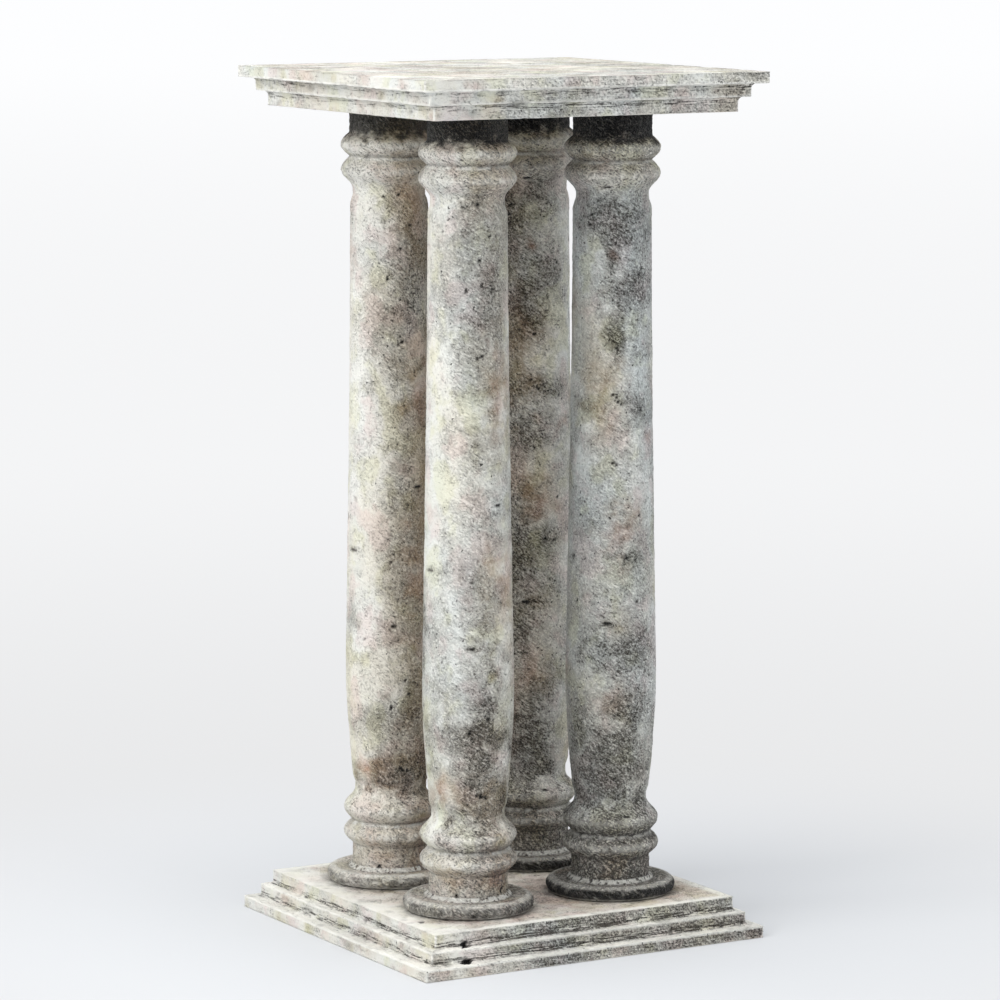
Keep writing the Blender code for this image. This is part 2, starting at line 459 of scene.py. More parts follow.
BACK_LEFT_SPOTS = [
    (4, 606, 24, 60, 0.24), (14, 486, 20, 40, 0.40), (52, 560, 16, 240, -0.25), (30, 775, 30, 22, -0.30),
    (0, 240, 62, 17, -0.42), (0, 166, 46, 26, 0.42), (-30, 312, 26, 26, -0.18), (-44, 820, 20, 12, -0.30),
    (0, 112, 62, 12, -0.40), (-10, 590, 26, 40, 0.16), (5, 152, 44, 11, 0.34), (18, 174, 18, 12, -0.30),
    (16, 132, 24, 10, 0.22), (-46, 340, 26, 60, -0.14), (44, 430, 18, 260, -0.14), (-40, 90, 40, 20, -0.20),
]
FRONT_RIGHT_SPOTS = [
    (8, 678, 22, 52, 0.60), (-48, 478, 22, 46, -0.35), (42, 366, 16, 42, 0.22), (5, 302, 62, 22, 0.52),
    (18, 184, 52, 48, 0.60), (-30, 186, 26, 24, 0.20), (25, 822, 36, 12, 0.26), (0, 782, 62, 14, -0.20),
    (-30, 87, 40, 22, 0.85), (20, 87, 40, 20, 0.20), (-20, 720, 40, 20, -0.12), (0, 776, 62, 15, -0.20),
    (4, 726, 28, 13, 0.24), (11, 684, 14, 14, -0.50), (42, 540, 14, 14, 0.25), (-4, 338, 34, 26, -0.26),
    (28, 286, 28, 26, 0.30), (42, 246, 20, 26, 0.30), (11, 187, 18, 13, 0.30), (0, 144, 44, 10, 0.55),
    (0, 122, 62, 9, -0.25),
]
BACK_RIGHT_SPOTS = [
    (-14, 770, 22, 28, -0.85), (0, 650, 32, 66, 0.20), (10, 466, 26, 18, -0.32), (-14, 375, 14, 26, 0.22),
    (-14, 286, 14, 18, 0.30), (-14, 182, 20, 40, 0.35), (10, 808, 60, 17, -0.38), (10, 245, 20, 12, -0.30),
    (24, 116, 28, 12, -0.28), (-14, 566, 14, 30, 0.22), (-14, 503, 14, 14, 0.22), (11, 405, 14, 14, -0.22),
    (11, 260, 14, 12, -0.30), (38, 90, 24, 44, -0.30), (11, 155, 16, 12, 0.30),
]

# Single gouges of the columns: turn in degrees, height in mm, half length and half height in mm, slope of the
# gouge and depth in mm
LIT_GOUGES = [
    (57, 64, 3, 3.4, 0, 3), (16, 764, 2.6, 1.6, 0.3, 1.6), (-7, 762, 3.4, 1.4, -0.4, 1.4),
    (-38, 738, 1.8, 1.8, 0.6, 1.2), (18, 708, 2.6, 2, 0, 1.5), (-2, 678, 1.6, 2.8, 0, 2.2),
    (21, 612, 4, 1.5, -0.5, 1.8), (14, 611, 2, 1.6, 0, 1.8), (44, 461, 5, 1.6, 0, 2),
    (4, 316, 6, 1.6, 0.1, 1.6), (-33, 303, 4.5, 0.8, 0.5, 1), (62, 300, 6, 0.9, 0.8, 1.2),
    (26, 244, 2.4, 2.4, 0, 1.6), (2, 231, 1.8, 2.6, 0, 2.2), (18, 164, 5, 1.8, -0.3, 2.4),
    (26, 162, 3, 1.6, 0, 2), (-29, 749, 4, 0.9, 0.5, 1.2), (34, 733, 2.2, 1.8, 0, 1.4),
    (6, 385, 5, 1.4, 0.1, 1.5), (-17, 61, 2.4, 1.8, 0, 1.8), (-60, 394, 9, 1, 0, 1.2),
    (20, 259, 2.2, 2.2, 0.4, 1.4), (-28, 285, 2, 1, -0.8, 1), (38, 680, 3, 1.4, 0.3, 1.2),
]
SHADED_GOUGES = [
    (-48, 439, 1.6, 1.6, 0.0, 1.8), (40, 439, 1.7, 1.7, 0.0, 2.0), (20, 396, 4.6, 1.7, -0.7, 2.0),
    (33, 393, 3.4, 1.5, -0.6, 1.6), (-52, 350, 1.7, 1.7, 0.0, 1.8), (34, 351, 1.7, 1.7, 0.0, 2.0),
    (5, 612, 2.4, 2.6, 0.0, 2.4), (26, 652, 2.4, 1.6, -0.4, 1.6), (3, 563, 6.0, 1.2, -0.5, 1.6),
    (10, 556, 5.0, 1.4, -0.6, 2.0), (-6, 328, 5.5, 1.6, 0.0, 2.4), (4, 165, 2.2, 1.8, 0.0, 1.8),
    (4, 493, 5.0, 1.4, -0.6, 1.8), (-37, 738, 3.0, 1.4, -0.3, 1.6), (42, 687, 1.8, 1.8, 0.0, 1.6),
    (-64, 395, 8.0, 1.2, 0.0, 1.6), (44, 548, 4.0, 1.4, -0.6, 1.6), (52, 542, 3.0, 1.2, -0.6, 1.4),
    (-8, 776, 6.0, 1.2, 0.1, 1.6), (-32, 748, 4.0, 1.4, 0.5, 2.0), (20, 126, 5.0, 1.4, 0.0, 1.6),
]


def turned_from(angle, target):
    """Difference between an angle and a target in degrees from the facing side, from -pi to pi."""
    return (angle - FACING - radians(target) + pi) % (2 * pi) - pi


def stain_mask(stains, angle, height, warp):
    """Adds up ragged oval stains."""
    total = np.zeros_like(angle)
    for turn, level, half_turn, half_level, strength in stains:
        across = turned_from(angle, turn) / radians(half_turn) + warp[0]
        up = (height - level / 1000) / (half_level / 1000) + warp[1]
        total = total + strength * np.exp(-(across**2 + up**2))
    return total


# Marks on the sides that the photo doesn't show: how many of each kind of stain and how strong, how many
# gouges, and the least and the most of each value of a stain and of a gouge
HIDDEN_STAINS = (("soot", 24, 0.55), ("umber", 10, 0.6), ("rust", 5, 0.5), ("moss", 5, 0.4))
HIDDEN_GOUGES = 26
STAIN_RANGE = ((85, 60, 10, 8, 0.4), (275, 820, 32, 44, 1.2))
GOUGE_RANGE = ((75, 110, 1.6, 1.0, -0.6, 1.2), (285, 790, 6.0, 2.2, 0.6, 2.4))


def hidden_marks(seed):
    """Stains and gouges at drawn places, on the side of a column that faces away from the photo's camera."""
    draw = np.random.default_rng(seed)
    stains = {}
    for kind, count, strength in HIDDEN_STAINS:
        places = draw.uniform(*STAIN_RANGE, (count, 5))
        stains[kind] = (places * (1, 1, 1, 1, strength)).tolist()
    gouges = draw.uniform(*GOUGE_RANGE, (HIDDEN_GOUGES, 6))
    return stains, gouges.tolist()


def gouge_mask(gouges, angle, height, radius, warp):
    """Depth in metres of the single gouges, each a ragged oval laid along its slope."""
    depth = np.zeros_like(angle)
    for turn, level, half_length, half_height, slope, deep in gouges:
        across = turned_from(angle, turn) * radius * 1000
        up = height * 1000 - level
        along = (across + slope * up) / half_length
        over = (up - slope * across) / half_height
        inside = 1 - (along + warp[0]) ** 2 - (over + warp[1]) ** 2
        depth = np.maximum(depth, unit(inside) ** 0.7 * deep / 1000)
    return depth


def soft_lines(offsets, place, width):
    """Soft lines round a column, at a place above each of the grooves that the offsets are measured from."""
    return sum(np.exp(-(((offset - place) / width) ** 2)) for offset in offsets)


def column_step(up):
    """Coarse steps along the shaft and fine ones along the mouldings."""
    return np.where((up > SHAFT_RANGE[0]) & (up < SHAFT_RANGE[1]), SHAFT_STEP, MOULDING_STEP)


def middle_of(node):
    """Where a solid's upright axis stands."""
    low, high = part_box(node)
    return [(low[axis] + high[axis]) / 2 for axis in range(2)]


class Surface:
    """The points of one piece, as rings."""

    def __init__(self, node, seed):
        self.seed = seed
        self.low, self.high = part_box(node)
        self.middle = middle_of(node)

    def noise(self, size, offset, octaves=1, stretch=(1, 1, 1)):
        """Noise on the piece's points, from its seed plus an offset."""
        return noise(self.rings * stretch, size, self.seed + offset, octaves)


class ColumnSurface(Surface):
    """The points of one column before it is worn, with the zones that its stains and its wear follow."""

    def __init__(self, node, looks, seed):
        super().__init__(node, seed)
        self.looks = looks
        points, bends = worn_profile(column_profile(self.high[2] - self.low[2]), column_step)
        turns = np.arange(COLUMN_SIDES) * 2 * pi / COLUMN_SIDES
        self.angle, self.radius = np.meshgrid(turns, points[:, 0])
        self.height = np.broadcast_to((points[:, 1] + self.low[2])[:, None], self.angle.shape)
        self.level = self.height - self.low[2]
        across = self.middle[0] + self.radius * np.cos(self.angle)
        along = self.middle[1] + self.radius * np.sin(self.angle)
        self.rings = np.stack((across, along, self.height), axis=-1)
        self.normals = surface_normals(self.rings)
        spread = (np.broadcast_to(line[:, None], self.angle.shape) for line in bends)
        self.arris, self.hollow, self.swell = spread
        self.warp = (self.noise(0.022, 0, 4) * 0.9, self.noise(0.019, 1, 4) * 0.9)
        self.hidden_stains, self.hidden_gouges = hidden_marks(seed)
        self.find_zones()

    def find_zones(self):
        """Works out how far each point lies on the turned-away side, the foot, the cap and so on."""
        top = self.high[2]
        self.turned = (1 - np.cos(turned_from(self.angle, self.looks.pale_turn))) / 2
        self.foot = fade(self.height - ZONE_DRIFT * self.warp[0], *FOOT_ZONE)
        self.cap = ease(self.height + ZONE_DRIFT * self.warp[0], top - CAP_ZONE[1], top - CAP_ZONE[0])
        self.crusty = np.maximum(self.foot, self.cap)
        ragged = self.height + NECK_DRIFT * self.noise(0.010, 3, 3)
        # The neck, painted black with soot and painted shade under the slab
        self.neck = ease(ragged, top - NECK_ZONE[1], top - NECK_ZONE[0])
        ring_crest = top - NECK_DRUM_HEIGHT - RING_HEIGHT / 2
        # Soot and painted shade below the neck, from the crest of the upper ring up to the slab
        self.upper_soot_and_shade = ease(ragged, ring_crest + UPPER_SOOT_AND_SHADE_ZONE[0], ring_crest + UPPER_SOOT_AND_SHADE_ZONE[1])
        # The band under a foot disc's crest, where shade is painted
        self.undercut = fade(self.level, *UNDERCUT_ZONE) * ease(self.level, *LIP_ZONE)
        self.patchy = 0.5 * self.noise(0.012, 14, 3)
        self.black_patches = ease(self.noise(0.009, 17, 3), -0.45, 0.05)


def column_stains(place):
    """Soot that is partly painted shade, brown, rust, moss and the other stains of a column, as masks."""
    looks = place.looks
    masks = {}
    for name, ovals in looks.stains.items():
        masks[name] = stain_mask(ovals + place.hidden_stains[name], place.angle, place.height, place.warp)
    # The turned side, away from the light, gets soot that is partly painted shade
    soot = looks.patches * masks["soot"] + looks.soot + looks.soot_turned * place.turned
    soot = soot + 0.24 * place.noise(0.075, 2, 4, (1, 1, 0.6))
    soot = soot + looks.foot_soot * place.foot + looks.cap_soot * place.cap
    middle = np.exp(-((turned_from(place.angle, 8) / radians(24)) ** 2))
    soot = soot + looks.middle_soot * middle + looks.disc_soot * fade(place.level, *DISC_ZONE)
    soot = soot + stain_mask(looks.spots, place.angle, place.height, place.warp)
    # Below the neck the soot is partly painted shade under the slab
    masks["soot"] = unit(soot + looks.upper_soot_and_shade * place.upper_soot_and_shade)

    umber = masks["umber"] + looks.brown_soot * unit(soot - looks.soot)
    umber = umber + 0.35 * place.upper_soot_and_shade + 0.12 * place.cap + 0.30 * place.foot
    brown = looks.umber_turned * place.turned * (1 + place.noise(0.060, 16, 3, (1, 1, 0.6)))
    masks["umber"] = unit(umber + brown)
    rough = place.crusty + looks.rough_turned * place.turned + 0.3 * place.warp[1]
    masks["rough"] = unit(rough)
    cool = looks.cool + 0.6 * place.noise(0.050, 13, 3, (1, 1, 0.5))
    masks["cool"] = unit(cool * (1 - 0.8 * place.crusty))
    return masks


def column_relief(place, soot):
    """Pits, gouges and chips of a column: the pits, the gouges' depth and how far each point is sunk."""
    seed = place.seed
    squat = place.rings * (1, 1, 1.5)
    small_pits = pits(squat, SMALL_PIT_SIZE, 0.25 + 0.45 * soot + 0.10 * place.crusty, seed + 4)
    large_pits = pits(squat, LARGE_PIT_SIZE, 0.16, seed + 5)
    large_pits = large_pits * ease(place.noise(0.010, 6, 2), -0.4, 0.3)
    warp = (place.noise(0.003, 7) * 0.5, place.noise(0.003, 8) * 0.5)
    gouges = place.looks.gouges + place.hidden_gouges
    gouged = gouge_mask(gouges, place.angle, place.height, place.radius, warp)
    grain = place.noise(GRAIN_SIZE, 9, 2, (1, 1, 1.5))
    swelling = place.noise(SWELLING_SIZE, 10, 2)
    chips = ease(place.noise(CHIP_SIZE, 11, 2), 0.15, 0.7) * np.maximum(place.arris, 0.5 * place.swell)

    sunk = SMALL_PIT_DEPTH * small_pits + LARGE_PIT_DEPTH * large_pits + gouged
    sunk = sunk + CHIP_DEPTH * chips - (GRAIN_DEPTH + CRUST_DEPTH * place.crusty) * grain
    sunk = sunk - SWELLING_DEPTH * swelling
    low, high = place.low[2], place.high[2]
    kept = ease(place.height, low, low + END_KEPT) * fade(place.height, high - END_KEPT, high)
    return 0.30 * small_pits + 0.15 * large_pits, gouged, sunk * kept


def column_wear(place, dents, gouged):
    """Rubbed arrises, painted highlights, hollows of grime and painted shade, and the neck's black, as masks.
    """
    looks, turned, level, patchy = place.looks, place.turned, place.level, place.patchy
    grooves = (
        place.height - (place.high[2] - NECK_DRUM_HEIGHT - RING_HEIGHT),
        level - (DISC_HEIGHT + FILLET_HEIGHT + FOOT_DRUM_HEIGHT + RING_HEIGHT),
    )
    bead = soft_lines(grooves, *GROOVE_HIGHLIGHT)
    shadow = soft_lines(grooves, *BEAD_SHADOW)
    fillet = place.radius < DRUM_RADIUS + FILLET_STEP - 0.0003
    fillet = fillet & (level < DISC_HEIGHT + FILLET_HEIGHT - 0.0006)
    # Painted highlight along the crest of a foot disc
    crest_highlight = fade(abs(place.radius - DISC_RADIUS + CREST_INSET), *CREST_ZONE)
    crest_highlight = crest_highlight * (level > DISC_WIDEST) * (level < CREST_TOP)
    ticks = ease(place.noise(0.0032, 12, 2, (1, 1, 0.02)), -0.45, -0.22)

    worn = 0.12 * place.swell + 0.5 * place.arris * ticks + 0.45 * crest_highlight * (1 - 0.7 * looks.under)
    # Paler caps and feet: painted light, most of all against the shade on the caps under the slab
    worn = worn + looks.pale_ends * np.maximum(place.cap * (1 - place.upper_soot_and_shade), place.foot)
    lip = fade(level, *LIP_ZONE)
    worn = worn + lip * (0.45 + 0.5 * looks.under) * ease(patchy, -0.25, 0.05)
    # Painted highlights below the grooves at the rings
    worn = worn + bead * looks.bead * ease(place.noise(0.008, 18, 2), -0.6, 0.1)
    worn = np.where(fillet, 1.3 * ticks, worn) * (0.75 + 0.5 * place.noise(0.006, 15, 2))

    # Grime and painted shade in the hollows, darker on the side away from the light, with painted shadows
    # above the grooves
    grime_and_shade = place.hollow * (0.30 + 0.35 * turned) * (1 - 0.8 * unit(bead))
    grime_and_shade = grime_and_shade * (1 - 0.6 * unit(bead)) + shadow * (0.25 + 0.35 * turned)
    # Painted shade under a foot disc's crest
    under = place.undercut * unit(looks.under + 0.5 * turned + patchy)
    dents = dents * (1 - fillet) + gouged * 900
    # Black of soot and painted shade at the neck under the slab, and black painted shade under a disc's crest
    black = np.maximum(looks.neck * place.neck, place.undercut * looks.disc_black * place.black_patches)
    return {
        "wear": unit(worn),
        # Grime and painted shade in hollows, pits, gouges, under the disc crests and in the groove at the
        # fillet
        "hollow": unit(grime_and_shade + dents + under + 0.6 * fillet * (1 - ticks)),
        "lines": unit(place.hollow * (1 - bead)),
        # Deep gouges are painted black as shade
        "neck": np.maximum(black, ease(gouged, 0.0008, 0.0018)),
    }


def column(node, looks, seed):
    """One weathered column in the place of its solid."""
    place = ColumnSurface(node, looks, seed)
    masks = column_stains(place)
    dents, gouged, sunk = column_relief(place, masks["soot"])
    place.rings = place.rings - place.normals * sunk[..., None] * (1, 1, 0)
    masks |= column_wear(place, dents, gouged)
    piece = ring_mesh(f"{node}_stone", place.rings, masks)
    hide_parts(node)
    return piece


def square_rings(points, centre, flip):
    """Rounded square rings of the given half widths and heights, and which points of a ring are on a corner.

    Where flip is given, the rings are turned upside down, from that height down.
    """
    steps = (np.arange(PLATE_SIDE_CUTS) + 0.5) / PLATE_SIDE_CUTS * 2 - 1
    bends = np.array(fractions(PLATE_CORNER_CUTS + 1)[:-1]) * pi / 2 - pi / 2
    half = points[:, :1]
    round_off = np.minimum(CORNER_ROUND, half * 0.5)
    along = np.hstack(((half - round_off) * steps, half - round_off + round_off * np.cos(bends)))
    out = np.hstack((-half + 0 * steps, -half + round_off + round_off * np.sin(bends)))
    turns = [side * pi / 2 for side in range(4)]
    x = centre[0] + np.hstack([along * cos(turn) - out * sin(turn) for turn in turns])
    y = centre[1] + np.hstack([along * sin(turn) + out * cos(turn) for turn in turns])
    corner = np.tile(np.repeat((0.0, 1.0), (len(steps), len(bends))), 4)
    rings = np.stack((x, y, np.broadcast_to(points[:, 1:], x.shape)), axis=-1)
    if flip is not None:
        rings = rings[::-1].copy()
        rings[..., 2] = flip - rings[..., 2]
    return rings, corner


# Gouges of the plinth: place on its surface in mm, half sizes in mm along X, Y and Z, and depth in mm
PLINTH_GOUGES = [
    ((-159.2, -117.8, 41.4), (2.2, 5, 2), 1.8),
    ((-161.8, -147.1, 41.4), (2, 6, 2), 1.8),
    ((-157.5, -98, 41.4), (1.6, 4, 2), 1.2),
    ((-143.5, -179.5, 28.3), (7.2, 5, 3.1), 4.4),
    ((-146.6, -189, 13.6), (7, 5, 3), 4.2),
    ((-128, -178, 27.2), (9, 3, 1), 1),
]


def plate_step(up):
    """The same step all the way up the moulding."""
    return np.full_like(up, PLATE_STEP)


class PlateSurface(Surface):
    """The points of the slab or the plinth before it is worn, with its arrises and hollows."""

    def __init__(self, node, upside_down, seed):
        super().__init__(node, seed)
        self.upside_down = upside_down
        self.plinth = float(not upside_down)
        half = (self.high[0] - self.low[0]) / 2
        side_points, (arris, hollow, _) = worn_profile(plate_profile(half), plate_step)
        self.inner, level = side_points[-1]
        steps = (PLATE_FACE_STEP, HIDDEN_FACE_STEP)
        broad_step, narrow_step = steps if upside_down else reversed(steps)
        broad_widths = np.arange(broad_step, half - broad_step / 2, broad_step)
        narrow_widths = np.arange(self.inner - narrow_step / 2, narrow_step, -narrow_step)
        broad_face = np.stack((broad_widths, np.zeros_like(broad_widths)), axis=-1)
        narrow_face = np.stack((narrow_widths, np.full_like(narrow_widths, level)), axis=-1)
        points = np.concatenate((broad_face, side_points, narrow_face))
        plain = (len(broad_face), len(narrow_face))
        arris, hollow = np.pad(arris, plain), np.pad(hollow, plain)
        if upside_down:
            arris, hollow = arris[::-1], hollow[::-1]
        self.rings, corner = square_rings(points, self.middle, self.high[2] if upside_down else None)
        self.normals = surface_normals(self.rings)
        self.shape = self.rings.shape[:2]
        self.recess_grime_and_shade = np.broadcast_to(hollow[:, None], self.shape)
        mitre = corner * ease(1 - np.abs(self.normals[..., 2]), 0.3, 0.8)
        self.edge = np.maximum(np.broadcast_to(arris[:, None], self.shape), mitre)


def plate_relief(place, gouges):
    """Chips, pits and gouges of a plate: both kinds of pits, the gouges' depth and how far all is sunk."""
    flat = (1, 1, 2.2)
    chips = ease(place.noise(PLATE_CHIP_SIZE, 0, 3), 0.22, 0.85) * place.edge
    nibbles = ease(place.noise(NIBBLE_SIZE, 1, 2), 0.0, 0.6) * place.edge
    small_pits = pits(place.rings * flat, PLATE_SMALL_PIT_SIZE, 0.35, place.seed + 2)
    large_pits = pits(place.rings * flat, PLATE_LARGE_PIT_SIZE, 0.12, place.seed + 3)
    grain = place.noise(PLATE_GRAIN_SIZE, 4, 2, flat)
    swelling = place.noise(PLATE_SWELLING_SIZE, 5, 2)
    sunk = PLATE_CHIP_DEPTH * chips + NIBBLE_DEPTH * nibbles
    sunk = sunk + PLATE_SMALL_PIT_DEPTH * small_pits + PLATE_LARGE_PIT_DEPTH * large_pits
    sunk = sunk + PLATE_GRAIN_DEPTH * (grain + 1) + PLATE_SWELLING_DEPTH * (swelling + 1)
    gouged = np.zeros(place.shape)
    for spot, sizes, deep in gouges:
        offset = (place.rings * 1000 - spot) / sizes
        offset = offset + 0.45 * place.noise(0.003, 6)[..., None]
        gouged = np.maximum(gouged, unit(1 - (offset**2).sum(-1)) * deep / 1000)
    facing_floor = ease(-place.normals[..., 2], 0.5, 0.9) * place.plinth
    return small_pits, large_pits, gouged, (sunk + gouged) * (1 - facing_floor)


def plate_stains(place, looks):
    """Soot, brown, rust and moss of a plate and its rubbed edges, as masks."""
    across = place.rings[..., 0]
    drift = place.noise(0.060, 7, 3, (1, 1, 0.5))
    level = ease(place.normals[..., 2], 0.7, 0.95)
    front = 0.3 + 0.7 * ease(across + 0.03 * drift, *FRONT_DIRT)
    front = unit(-place.normals[..., 1]) * front
    if place.upside_down:
        climb = place.high[2] - place.rings[..., 2]
    else:
        climb = place.rings[..., 2] - place.low[2]
    # The coves get soot and painted shade, and stronger level streaks
    cove_dirt_and_shade = np.zeros(place.shape)
    for step in (RIM_HEIGHT, RIM_HEIGHT + MIDDLE_HEIGHT):
        above = climb - step
        cove_dirt_and_shade = np.maximum(cove_dirt_and_shade, ease(above, 0.0, 0.0010) * fade(above, *COVE_ZONE))
    tread = level * fade(climb, PLATE_HEIGHT - TREAD_ZONE[1], PLATE_HEIGHT - TREAD_ZONE[0]) * place.plinth
    off_centre = np.maximum(abs(across - place.middle[0]), abs(place.rings[..., 1] - place.middle[1]))
    border = ease(off_centre, place.inner - BORDER_ZONE[1], place.inner - BORDER_ZONE[0]) * level
    inside = ease(across + 0.02 * drift, *TOP_DIRT) * (1 - border) * level * place.plinth
    # Painted light on the plinth's top outside its dirty middle, against the shade of the slab
    top_painted_light = unit(level - inside - border - tread) * place.plinth

    soot = looks.soot * (1 - level) + looks.level_soot * level + looks.front_soot * front
    soot = soot + 0.24 * drift + 0.16 * inside + looks.cove_soot * cove_dirt_and_shade + 0.40 * tread
    wear = unit(place.edge * (1.1 + 0.6 * place.noise(0.008, 11, 2)))
    return {
        "soot": soot,
        "rough": 0.12 + looks.front_rough * front + 0.35 * inside,
        "lines": cove_dirt_and_shade,
        "cool": unit(0.15 + 0.6 * place.noise(0.060, 13, 3)),
        "umber": unit(0.5 * place.noise(0.045, 8, 3)) + 0.20 * inside,
        "rust": unit(0.6 * place.noise(0.030, 9, 2) - 0.25) + 0.16 * inside,
        "moss": unit(0.6 * place.noise(0.035, 10, 2) - 0.22) * (1 - level),
        "wear": wear + looks.border_wear * border + 0.6 * top_painted_light,
    }


def mark_feet(place, masks):
    """Dirties the plinth's top round the feet of the columns, with painted shade where they stand on it."""
    ragged = 0.006 * place.noise(0.014, 12, 3)
    top = ease(place.rings[..., 2], place.high[2] - 0.004, place.high[2] - 0.001)
    for other in COLUMNS:
        centre = middle_of(other)
        away = np.hypot(place.rings[..., 0] - centre[0], place.rings[..., 1] - centre[1])
        beyond = away - DISC_RADIUS + ragged
        near = top * fade(beyond, *FOOT_SHADE)
        # Grime and painted contact shade where a foot stands on the plinth
        masks["hollow"] = masks["hollow"] + 0.55 * top * fade(beyond, *FOOT_GRIME_AND_SHADE)
        masks["umber"] = masks["umber"] + 0.14 * near
        masks["rust"] = masks["rust"] + 0.08 * near
        masks["soot"] = masks["soot"] + 0.09 * near


def plate(node, upside_down, gouges, looks, seed):
    """The slab or the plinth: a square plate with worn arrises, in the place of its solid."""
    place = PlateSurface(node, upside_down, seed)
    small_pits, large_pits, gouged, sunk = plate_relief(place, gouges)
    rings = place.rings - place.normals * sunk[..., None]
    place.rings = np.clip(rings, np.array(place.low), np.array(place.high))
    masks = plate_stains(place, looks)
    # Grime and painted shade in the coves, the pits and the gouges
    dents = looks.recess_grime_and_shade * place.recess_grime_and_shade + 0.35 * small_pits + 0.5 * large_pits
    masks["hollow"] = unit(dents + gouged * 600)
    # Deep gouges are painted black as shade
    masks["neck"] = ease(gouged, 0.0008, 0.0016)
    if not upside_down:
        mark_feet(place, masks)
    masks = {name: unit(values) for name, values in masks.items()}
    piece = ring_mesh(f"{node}_stone", place.rings, masks)
    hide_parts(node)
    return piece


class Graph:
    """The nodes of one material, with short calls for the kinds that stone needs."""

    def __init__(self, name):
        self.material = bpy.data.materials.new(name)
        self.material.use_nodes = True
        self.tree = self.material.node_tree
        self.shader = self.tree.nodes["Principled BSDF"]

    def add(self, kind, inputs, **settings):
        made = self.tree.nodes.new(f"ShaderNode{kind}")
        for name, value in settings.items():
            setattr(made, name, value)
        for key, value in inputs.items():
            if isinstance(value, bpy.types.NodeSocket):
                self.tree.links.new(value, made.inputs[key])
            else:
                made.inputs[key].default_value = value
        return made

    def mask(self, name):
        return self.add("Attribute", {}, attribute_name=name).outputs["Fac"]

    def place(self, scale=(1, 1, 1), tilt=(0, 0, 0), kind="POINT"):
        spot = self.add("TexCoord", {}).outputs["Object"]
        inputs = {"Vector": spot, "Scale": scale, "Rotation": tilt}
        return self.add("Mapping", inputs, vector_type=kind).outputs["Vector"]

    def noise(self, vector, size, detail, rough=0.55, warp=0.0):
        inputs = {"Vector": vector, "Scale": 1 / size, "Detail": detail}
        inputs |= {"Roughness": rough, "Distortion": warp}
        return self.add("TexNoise", inputs).outputs["Fac"]

    def math(self, operation, *values):
        return self.add("Math", dict(enumerate(values)), operation=operation).outputs[0]

    def plus(self, first, second):
        return self.math("ADD", first, second)

    def minus(self, first, second):
        return self.math("SUBTRACT", first, second)

    def times(self, first, second):
        return self.math("MULTIPLY", first, second)

    def scaled(self, value, factor, start):
        return self.math("MULTIPLY_ADD", value, factor, start)

    def ease(self, value, low, high, start=0.0, end=1.0):
        inputs = {"Value": value, "From Min": low, "From Max": high, "To Min": start, "To Max": end}
        return self.add("MapRange", inputs, interpolation_type="SMOOTHSTEP").outputs["Result"]

    def mix(self, factor, first, second, blend="MIX"):
        made = self.add("Mix", {0: factor, 6: first, 7: second}, data_type="RGBA", blend_type=blend)
        return made.outputs[2]


def colour(red, green, blue):
    """A colour as a socket value, from its sRGB shares of 255."""
    return tuple(((share / 255 + 0.055) / 1.055) ** 2.4 for share in (red, green, blue)) + (1.0,)


PALE = colour(238, 237, 230)
CREAM = colour(230, 224, 209)
# Grey of soot, which is partly painted shade
SOOT_AND_SHADE_GREY = colour(60, 56, 49)
# Pale of wear and of painted highlights
WORN_AND_HIGHLIGHT = colour(250, 248, 240)
# Dark of the specks, and of grime and painted shade in the hollows
DIRT_AND_SHADE = colour(40, 36, 30)
# Painted shade inside the pits
PIT_SHADE = colour(24, 22, 18)
# Black of soot and painted shade
SHADE_AND_SOOT_BLACK = colour(5, 5, 5)
COOL_TINT = (0.86, 0.92, 0.97, 1.0)
PINK_TINT = (0.96, 0.86, 0.87, 1.0)
OLIVE_TINT = (0.92, 0.92, 0.76, 1.0)
UMBER_TINT = (0.62, 0.50, 0.37, 1.0)
RUST_TINT = (0.62, 0.36, 0.27, 1.0)
MOSS_TINT = (0.66, 0.63, 0.33, 1.0)

# How steeply the hair-fine strokes of the stone fall to the right, seen from the camera's side, and how much
# longer than wide they are
STROKE_FALL = radians(35)
STROKE_LENGTH = 3.2

# Size of each pattern of the stone
CLOUD_SIZE = 0.030
WARM_SIZE = 0.070
HUE_SIZE = 0.034
GRAIN_PATTERN_SIZE = 0.0018
STROKE_SIZE = 0.0020
SPECK_SIZE = 0.0036
LINE_SIZE = 0.006

# Fine pits of the stone: cells to the metre, and how their outlines wander
PIT_CELLS = 175.0
WANDER_WAVES = 260.0
WANDER_SHARE = 0.006

BUMP_STRENGTH = 0.9
BUMP_HEIGHT = 0.0020


